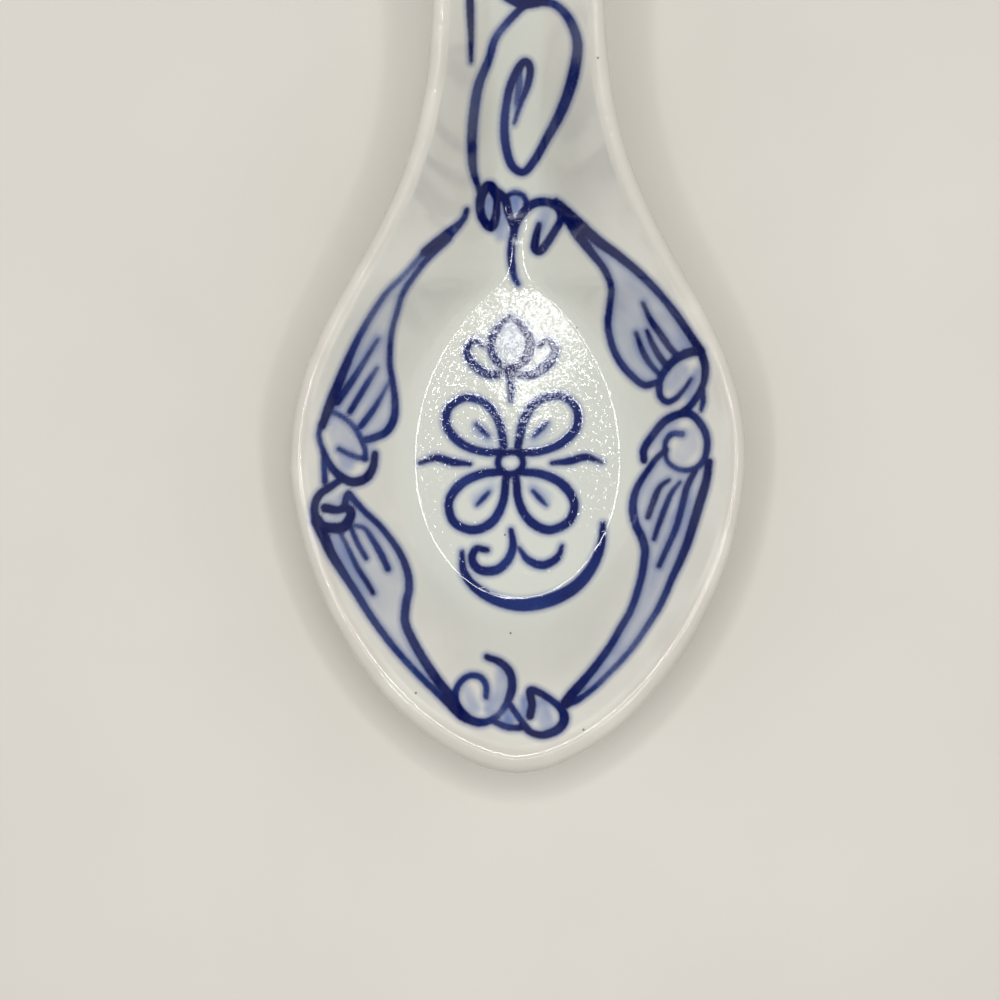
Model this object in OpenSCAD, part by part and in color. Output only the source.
// Chinese soup spoon in glazed porcelain: a pear-shaped bowl with a flat teardrop floor, a hollowed
// handle that rises from its back, and a low unglazed foot ring to stand on.
// The origin is on the table under the middle of the spoon. +Y runs to the handle's end, +Z is up.
// Distances along the spoon are measured from its drinking tip.

/* [Overall] */
// Length from the drinking tip to the end of the handle
spoon_l = 130; // [118:1:150]
// Height of the handle's end above the table
end_h = 46; // [36:1:58]
// Distance from the tip at which the rim line starts to climb
climb_start = 28; // [14:1:30]
// Bend of the climbing rim line, as a share of a parabola's
climb_bend_share = 0.8; // [0.6:0.01:0.9]

/* [Bowl] */
// Width of the bowl at its belly, its widest place
bowl_w = 45.6; // [40:0.2:54]
// Distance from the tip to the belly
belly_l = 31.4; // [27:0.2:36]
// Height of the rim above the table
rim_h = 16; // [13.5:0.5:20]
// Height of the eating surface above the table
floor_h = 3.6; // [3:0.1:4.6]
// Roundness of the tip, as a share of an ellipse's
tip_round_share = 0.87; // [0.8:0.01:1]
// Length over which the shoulders draw in to the handle
shoulder_l = 24; // [20:0.2:28]
// Fullness of the shoulders, as a share of a bell curve's
shoulder_round_share = 1.14; // [1:0.01:1.3]
// Radius of the fillet between the floor and the walls
fillet_r = 3; // [1.5:0.1:4]

/* [Floor] */
// Width of the flat floor
floor_w = 20.4; // [16:0.2:24]
// Length of the floor in front of the belly
floor_front_l = 13.8; // [10:0.2:16]
// Length of the floor behind the belly, to its point
floor_tail_l = 19.4; // [16:0.2:24]
// Share of the floor's tail that lies flat, before the valley climbs to the handle
tail_flat_share = 1; // [0.7:0.01:1]
// Bend of the teardrop's sides, as a share of a parabola's
tail_bend_share = 1.1; // [0.8:0.01:1.4]

/* [Rim] */
// Thickness of the rounded rim
rim_t = 1.8; // [1.4:0.1:2.8]
// Extra thickness of the drinking lip at the tip
lip_extra_t = 1.4; // [0:0.1:2]

/* [Handle] */
// Width of the handle where the shoulders end
handle_w = 16; // [14:0.2:19]
// Width of the handle before its rounded end
handle_end_w = 17; // [14.4:0.2:20]
// Depth of the hollow along the handle
channel_d = 2.6; // [1.8:0.1:3.4]
// Width of the hollow's flat bottom
channel_w = 4; // [2:0.2:6]
// Thickness of clay between the hollow and the handle's underside
handle_t = 2.7; // [2.4:0.1:3.6]
// Width of the flat band along the handle's underside
keel_w = 7; // [5:0.2:9]
// Length of the handle's rounded end
end_round_l = 9; // [7:0.2:11]
// Roundness of the handle's end, as a share of an ellipse's
end_round_share = 1.15; // [1:0.01:1.3]
// Length over which the valley climbs from the bowl into the handle
neck_l = 37; // [32:0.5:42]
// Length over which the underside climbs from the foot to the handle
heel_l = 29; // [26:0.5:34]

/* [Foot] */
// Width of the foot
foot_w = 21.6; // [18:0.2:25]
// Length of the foot in front of the belly
foot_front_l = 14.4; // [11:0.2:17]
// Length of the foot behind the belly
foot_tail_l = 25.6; // [23:0.2:29]
// Height of the foot under the bowl
foot_h = 0.9; // [0.6:0.1:1.3]
// Width of the ring that stands on the table
foot_ring_w = 1.8; // [1.4:0.1:2.4]
// Radius of the ring's rounded point
foot_point_r = 0.8; // [0.4:0.1:1.2]
// Depth of the recess inside the ring
recess_d = 0.6; // [0.5:0.05:0.9]

/* [Glaze] */
// Thickness of the glaze
glaze_t = 0.2; // [0.15:0.01:0.3]
// Width of the band round the foot from which the glaze is wiped
wiped_w = 0.4; // [0.3:0.05:0.6]

/* [Hidden] */

// Half widths of the two teardrops at their points, where they run on along the handle
floor_point_w = channel_w/4;
foot_point_w = keel_w/5;
// Overrun of the foot into the bowl and of the recess out of the foot
overrun = 0.5;

// Steps round half of the spoon: the tip, the teardrop foot, the neck and handle, the rounded end
tip_steps = 16;
foot_steps = 8;
handle_steps = 18;
end_steps = 6;
foot_last = tip_steps + foot_steps;
handle_last = foot_last + handle_steps;
half = handle_last + end_steps;
around = half*2;

// Places along a section, as shares of the inner wall and of the outer wall
inner_wall_shares = [0, 0.06, 0.14, 0.24, 0.36, 0.5, 0.66, 0.83];
outer_wall_shares = [0.84, 0.66, 0.48, 0.32, 0.18, 0.07, 0];
// Place of the innermost line of the floor, as a share of its half width
floor_line_share = 0.5;
// Largest fillet under a low wall, as a share of the one that would make the whole wall a parabola
fillet_limit_share = 0.8;
// Steps round the half circle of the rim, and facets of the foot's rounded point
rim_steps = 7;
point_facets = 32;
// Spacing of the handle's steps, closer at the neck, as a share of a parabola's
step_bend_share = 0.62;

foot_end = belly_l + foot_tail_l;
round_start = spoon_l - end_round_l;

function mix(a, b, t) = a + (b - a)*t;
function ease(t) = (1 - cos(180*min(1, max(0, t))))/2;
function unit(v) = v/norm(v);

// Half width of the outline behind the belly, at distance s from the tip
function handle_half(s) = mix(handle_w, handle_end_w, pow((s - belly_l)/(round_start - belly_l), 2))/2;
function rim_half(s) =
    mix(handle_half(s), bowl_w/2, exp(-pow((s - belly_l)/shoulder_l, 2*shoulder_round_share)));

// Half width of a teardrop behind the belly, which narrows to a point and runs on as a band
function tear_half(s, wide, tail_l, point, band) =
    s <= belly_l + tail_l
        ? mix(wide, point, pow((s - belly_l)/tail_l, 2*tail_bend_share))
        : mix(point, band, ease((s - belly_l - tail_l)/neck_l));

// Heights of the rim's crest, of the floor with its valley, and of the underside
function crest_z(s) =
    mix(rim_h, end_h, pow(max(0, s - climb_start)/(spoon_l - climb_start), 2*climb_bend_share));
function floor_z(s) =
    mix(floor_h, crest_z(s) - channel_d, ease((s - belly_l - floor_tail_l*tail_flat_share)/neck_l));
function under_z(s) =
    mix(foot_h, crest_z(s) - channel_d - handle_t, ease((s - foot_end)/heel_l));

// Place of station i along half of the spoon: an angle at the tip and at the end, a distance between
function tip_angle(i) = 90*(1 - i/tip_steps);
function end_angle(i) = 90*(i - handle_last)/end_steps;
function side_s(i) =
    i <= foot_last
        ? mix(belly_l, foot_end, (i - tip_steps)/foot_steps)
        : mix(foot_end, round_start, pow((i - foot_last)/handle_steps, 2*step_bend_share));

// Arcs of a superellipse, in front of the belly and round the handle's end
function tip_arc(i, wide, long, round_share) =
    [wide*pow(cos(tip_angle(i)), 1/round_share), belly_l - long*pow(sin(tip_angle(i)), 1/round_share)];
function end_arc(i, wide, long, round_share) =
    [wide*pow(cos(end_angle(i)), 1/round_share), round_start + long*pow(sin(end_angle(i)), 1/round_share)];

// Plan of the outline, of the floor's edge and of the foot's edge, each as [x, s] at station i
function rim_plan(i) =
    i <= tip_steps ? tip_arc(i, bowl_w/2, belly_l, tip_round_share)
    : i <= handle_last ? [rim_half(side_s(i)), side_s(i)]
    : end_arc(i, handle_end_w/2, end_round_l, end_round_share);
function floor_plan(i) =
    i <= tip_steps ? tip_arc(i, floor_w/2, floor_front_l, 1)
    : i <= handle_last ? [tear_half(side_s(i), floor_w/2, floor_tail_l, floor_point_w, channel_w/2), side_s(i)]
    : end_arc(i, channel_w/2, end_round_l - (handle_end_w - channel_w)/2, 1);
function foot_plan(i) =
    i <= tip_steps ? tip_arc(i, foot_w/2, foot_front_l, 1)
    : i <= handle_last ? [tear_half(side_s(i), foot_w/2, foot_tail_l, foot_point_w, keel_w/2), side_s(i)]
    : end_arc(i, keel_w/2, end_round_l - (handle_end_w - keel_w)/2, 1);

// The middle line that the sections spread from
function spine(i) = [0, i <= tip_steps ? belly_l : min(side_s(min(i, handle_last)), round_start)];

// Outward direction of the outline in plan
function mirrored(p) = [-p.x, p.y];
function outline(i) =
    i < 0 ? mirrored(rim_plan(-i)) : i > half ? mirrored(rim_plan(around - i)) : rim_plan(i);
function outward(i) = let (d = outline(i + 1) - outline(i - 1)) unit([d.y, -d.x]);

function rim_r(i) = rim_t/2 + (i < tip_steps ? lip_extra_t/2*pow(sin(tip_angle(i)), 2) : 0);

// A wall is a hyperbola: level where it leaves the floor, with the fillet's radius there, then nearly
// straight. Its steepness follows from its run in plan and its rise, which also limit the fillet.
function fillet(run, rise) = min(fillet_r, fillet_limit_share*run*run/(2*rise));
function steepness(run, rise) = rise/sqrt(run*run - 2*rise*fillet(run, rise));
function wall_rise(run, rise, t) =
    let (m = steepness(run, rise), q = m*fillet(run, rise)) m*(sqrt(t*t*run*run + q*q) - q);
function wall_point(a, az, b, bz, t) =
    let (p = mix(a, b, t)) [p.x, p.y, az + wall_rise(norm(b - a), bz - az, t)];
function wall_angle(run, rise) =
    let (m = steepness(run, rise), q = m*fillet(run, rise)) atan(m*run/sqrt(run*run + q*q));

// The section at station i: floor, inner wall, rim, outer wall, underside
function section(i) =
    let (
        r = rim_r(i),
        out = outward(i),
        rim = rim_plan(i),
        crest = crest_z(rim.y),
        heart = rim - r*out,
        heart_z = crest - r,
        inner = floor_plan(i),
        inner_z = floor_z(inner.y),
        outer = foot_plan(i),
        outer_z = under_z(outer.y),
        from = 90 + wall_angle(norm(heart - r*out - inner), crest - inner_z),
        to = wall_angle(norm(rim - outer), heart_z - outer_z) - 90,
        inner_top = heart + r*cos(from)*out,
        outer_top = heart + r*cos(to)*out,
        middle = mix(spine(i), inner, floor_line_share)
    )
    concat(
        [[middle.x, middle.y, floor_z(middle.y)]],
        [for (t = inner_wall_shares) wall_point(inner, inner_z, inner_top, heart_z + r*sin(from), t)],
        [for (n = [0 : rim_steps])
            let (a = mix(from, to, n/rim_steps), p = heart + r*cos(a)*out) [p.x, p.y, heart_z + r*sin(a)]],
        [for (t = outer_wall_shares) wall_point(outer, outer_z, outer_top, heart_z + r*sin(to), t)]
    );

// The glazed surface as sections all the way round, the left half a mirror of the right
right_half = [for (i = [0 : half]) section(i)];
skin = [for (k = [0 : around - 1])
    k <= half ? right_half[k] : [for (p = right_half[around - k]) [-p.x, p.y, p.z]]];
rings = len(skin[0]);

// The surface of the clay, one thickness of glaze further in
function inward(k, j) =
    j == rings - 1
        ? [0, 0, 1]
        : unit(cross(
            skin[(k + 1)%around][j] - skin[(k + around - 1)%around][j],
            skin[k][j + 1] - skin[k][max(0, j - 1)]
        ));
clay = [for (k = [0 : around - 1]) [for (j = [0 : rings - 1]) skin[k][j] + glaze_t*inward(k, j)]];

// Faces on the points of all sections, with the first at number base
function point(k, j, base) = base + (k%around)*rings + j;
function band_faces(base) = [
    for (k = [0 : around - 1])
        for (j = [0 : rings - 2])
            let (
                a = point(k, j, base),
                b = point(k + 1, j, base),
                c = point(k + 1, j + 1, base),
                d = point(k, j + 1, base)
            )
            each k < half ? [[a, b, c], [a, c, d]] : [[a, b, d], [b, c, d]]
];
// A strip across the spoon that closes ring j, from station first to the handle's end
function strip_faces(j, first, base) = [
    for (i = [first : half - 1])
        let (
            right = point(i, j, base),
            right_next = point(i + 1, j, base),
            left = point(around - i, j, base),
            left_next = point(around - i - 1, j, base)
        )
        each i == 0 ? [[left, left_next, right_next]]
            : i == half - 1 ? [[left, left_next, right]]
            : [[left, left_next, right], [right, left_next, right_next]]
];
function flipped(faces) = [for (f = faces) [f[2], f[1], f[0]]];

// The glaze stops in a small step round the foot, from its outer surface down to the clay
function edge_face(a, b, depth) = [[a, b, b + depth], [a, b + depth, a + depth]];
function edge_faces(depth) = [
    for (k = [-foot_last : foot_last - 1])
        each edge_face(point(k + around, rings - 1, 0), point(k + around + 1, rings - 1, 0), depth),
    each edge_face(point(foot_last, rings - 1, 0), point(around - foot_last, rings - 1, 0), depth)
];

// The foot in plan, drawn in from the edge of the glaze
module foot_shape(inset) {
    offset(r = foot_point_r, $fn = point_facets)
        offset(delta = -inset - foot_point_r)
            polygon([for (k = [-foot_last : foot_last]) k < 0 ? mirrored(foot_plan(-k)) : foot_plan(k)]);
}

// Moves the tip from the origin to its place, so that the spoon's middle is over the origin
module centred() {
    translate([0, -spoon_l/2, 0]) children();
}

// Fired clay: the whole spoon less its glaze, with the bare foot ring
module porcelain_body() {
    color("#e8e2d6")
    centred()
    difference() {
        union() {
            polyhedron(
                points = [for (s = clay) each s],
                faces = concat(band_faces(0), strip_faces(0, 0, 0), flipped(strip_faces(rings - 1, 0, 0)))
            );
            linear_extrude(foot_h + glaze_t + overrun) foot_shape(wiped_w);
        }
        translate([0, 0, -overrun])
            linear_extrude(recess_d + overrun) foot_shape(wiped_w + foot_ring_w);
    }
}

// Clear glaze over everything but the foot ring, with a patch of its own inside the recess
module glaze_coat() {
    outer_faces = concat(
        band_faces(0),
        strip_faces(0, 0, 0),
        flipped(strip_faces(rings - 1, foot_last, 0))
    );
    depth = around*rings;
    color("#c6cac6")
    centred() {
        polyhedron(
            points = concat([for (s = skin) each s], [for (s = clay) each s]),
            faces = concat(
                outer_faces,
                [for (f = flipped(outer_faces)) [for (p = f) p + depth]],
                edge_faces(depth)
            )
        );
        translate([0, 0, recess_d - glaze_t])
            linear_extrude(glaze_t) foot_shape(wiped_w + foot_ring_w);
    }
}

porcelain_body();
glaze_coat();
